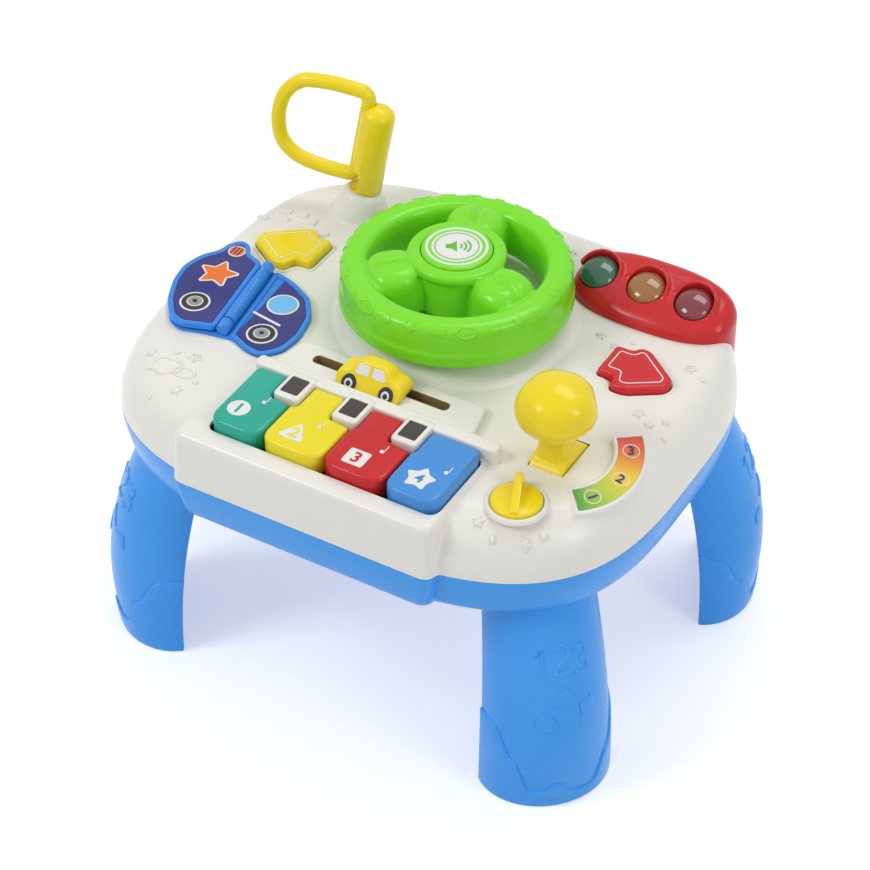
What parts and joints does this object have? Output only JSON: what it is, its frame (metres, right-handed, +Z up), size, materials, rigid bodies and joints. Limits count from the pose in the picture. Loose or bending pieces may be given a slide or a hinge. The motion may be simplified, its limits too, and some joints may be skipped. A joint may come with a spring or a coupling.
{
  "type": "activity table",
  "caption": "Small activity table on removable legs with a steering wheel, piano keys, gear lever, signal lights, sliding car, page book and swinging loop.",
  "frame": {"origin": "middle of the footprint on the floor, at the bottom centre of the bounding box", "axes": "+Z up; +X to the right of a child who stands at the piano keys; +Y away from that child, to the back"},
  "size_m": [0.3318, 0.269, 0.2691],
  "materials": {
    "white_shell": "moulded, slightly glossy",
    "blue_shell": "moulded, satin gloss",
    "steel": "plain zinc-plated",
    "battery_cell": "plain sleeve",
    "speaker_black": "matte",
    "circuit_green": "lacquered board",
    "contact_rubber": "matte",
    "teal_key": "glossy",
    "yellow_key": "glossy",
    "red_key": "glossy",
    "blue_key": "glossy",
    "dark_inlay": "glossy",
    "yellow_plastic": "glossy",
    "inner_white": "matte",
    "green_wheel": "glossy",
    "red_plastic": "glossy",
    "green_lens": "clear, tinted, glossy",
    "amber_lens": "clear, tinted, glossy",
    "red_lens": "clear, tinted, glossy",
    "led_clear": "clear, glossy",
    "gear_print": "printed film in bands of red, yellow and green",
    "book_blue": "glossy",
    "book_print": "printed film"
  },
  "bodies": {
    "table": {"top_shell": "white_shell", "base_shell": "blue_shell", "leg_front_left": "blue_shell", "leg_front_right": "blue_shell", "leg_back_left": "blue_shell", "leg_back_right": "blue_shell", "battery_door": "blue_shell", "battery_door_screw": "steel", "battery_1": "battery_cell", "battery_2": "battery_cell", "battery_3": "battery_cell", "speaker": "speaker_black", "circuit_board": "circuit_green", "case_screw_1": "steel", "case_screw_2": "steel", "case_screw_3": "steel", "case_screw_4": "steel", "case_screw_5": "steel", "case_screw_6": "steel", "sharp_inlay_1": "dark_inlay", "sharp_inlay_2": "dark_inlay", "sharp_inlay_3": "dark_inlay", "key_hinge_rod": "steel", "key_circuit_board": "circuit_green", "key_contact_strip": "contact_rubber", "traffic_light_housing": "red_plastic", "led_board": "circuit_green", "lens_green": "green_lens", "led_green": "led_clear", "lens_amber": "amber_lens", "led_amber": "led_clear", "lens_red": "red_lens", "led_red": "led_clear", "gear_pivot_pin": "steel", "gear_label": "gear_print", "rotary_switch": "speaker_black", "book_base": "book_blue", "book_hinge_pin": "steel", "book_base_label": "book_print"},
    "wheel": {"steering_wheel": "green_wheel", "wheel_washer": "steel", "wheel_screw": "steel"},
    "horn": {"horn_button": "green_wheel"},
    "key_1": {"piano_key_1": "teal_key"},
    "key_2": {"piano_key_2": "yellow_key"},
    "key_3": {"piano_key_3": "red_key"},
    "key_4": {"piano_key_4": "blue_key"},
    "slider": {"slider_car": "yellow_plastic", "slider_retainer": "inner_white"},
    "turn_left": {"turn_button_left": "yellow_plastic"},
    "turn_right": {"turn_button_right": "red_plastic"},
    "gear": {"gear_lever": "yellow_plastic", "gear_knob": "yellow_plastic"},
    "switch": {"switch_knob": "yellow_plastic"},
    "page": {"book_page": "book_blue", "book_page_label": "book_print"},
    "post": {"loop_post": "yellow_plastic", "post_retainer": "inner_white"},
    "loop": {"swing_loop": "yellow_plastic"}
  },
  "joints": [
    {"name": "wheel_turn", "type": "hinge", "parent": "table", "child": "wheel", "pos_m": [0, 0.0304, 0.21], "axis": [0, 0, 1], "continuous": true},
    {"name": "horn_press", "type": "slide", "parent": "wheel", "child": "horn", "axis": [0, 0, -1], "range_m": [0, 0.002], "stiffness_N_per_m": 300, "springref_m": -0.002},
    {"name": "key_1_press", "type": "hinge", "parent": "table", "child": "key_1", "pos_m": [-0.0475, -0.0596, 0.1798], "axis": [1, 0, 0], "range_deg": [0, 3], "stiffness_Nm_per_rad": 0.5, "springref_deg": -1.72},
    {"name": "key_2_press", "type": "hinge", "parent": "table", "child": "key_2", "pos_m": [-0.013, -0.0596, 0.1798], "axis": [1, 0, 0], "range_deg": [0, 3], "stiffness_Nm_per_rad": 0.5, "springref_deg": -1.72},
    {"name": "key_3_press", "type": "hinge", "parent": "table", "child": "key_3", "pos_m": [0.024, -0.0596, 0.1798], "axis": [1, 0, 0], "range_deg": [0, 3], "stiffness_Nm_per_rad": 0.5, "springref_deg": -1.72},
    {"name": "key_4_press", "type": "hinge", "parent": "table", "child": "key_4", "pos_m": [0.05851, -0.0596, 0.1798], "axis": [1, 0, 0], "range_deg": [0, 3], "stiffness_Nm_per_rad": 0.5, "springref_deg": -1.72},
    {"name": "slider_travel", "type": "slide", "parent": "table", "child": "slider", "axis": [1, 0, 0], "range_m": [-0.034, 0.034]},
    {"name": "turn_left_press", "type": "slide", "parent": "table", "child": "turn_left", "axis": [0, 0, -1], "range_m": [0, 0.0025], "stiffness_N_per_m": 300, "springref_m": -0.002},
    {"name": "turn_right_press", "type": "slide", "parent": "table", "child": "turn_right", "axis": [0, 0, -1], "range_m": [0, 0.0025], "stiffness_N_per_m": 300, "springref_m": -0.002},
    {"name": "gear_shift", "type": "hinge", "parent": "table", "child": "gear", "pos_m": [0.105, -0.0455, 0.1725], "axis": [1, 0, 0], "range_deg": [-25, 15]},
    {"name": "switch_turn", "type": "hinge", "parent": "table", "child": "switch", "pos_m": [0.1045, -0.0895, 0.187], "axis": [0, 0, 1], "range_deg": [-45, 45]},
    {"name": "page_flip", "type": "hinge", "parent": "table", "child": "page", "pos_m": [-0.10359, -0.02204, 0.1928], "axis": [-0.1519, 0.9884, 0], "range_deg": [0, 175]},
    {"name": "post_swivel", "type": "hinge", "parent": "table", "child": "post", "pos_m": [-0.0954, 0.08999, 0.2015], "axis": [0.1259, 0.1346, 0.9829], "range_deg": [-40, 40]},
    {"name": "loop_swing", "type": "hinge", "parent": "post", "child": "loop", "pos_m": [-0.10216, 0.08855, 0.20256], "axis": [0.1259, 0.1346, 0.9829], "range_deg": [-55, 55]}
  ]
}
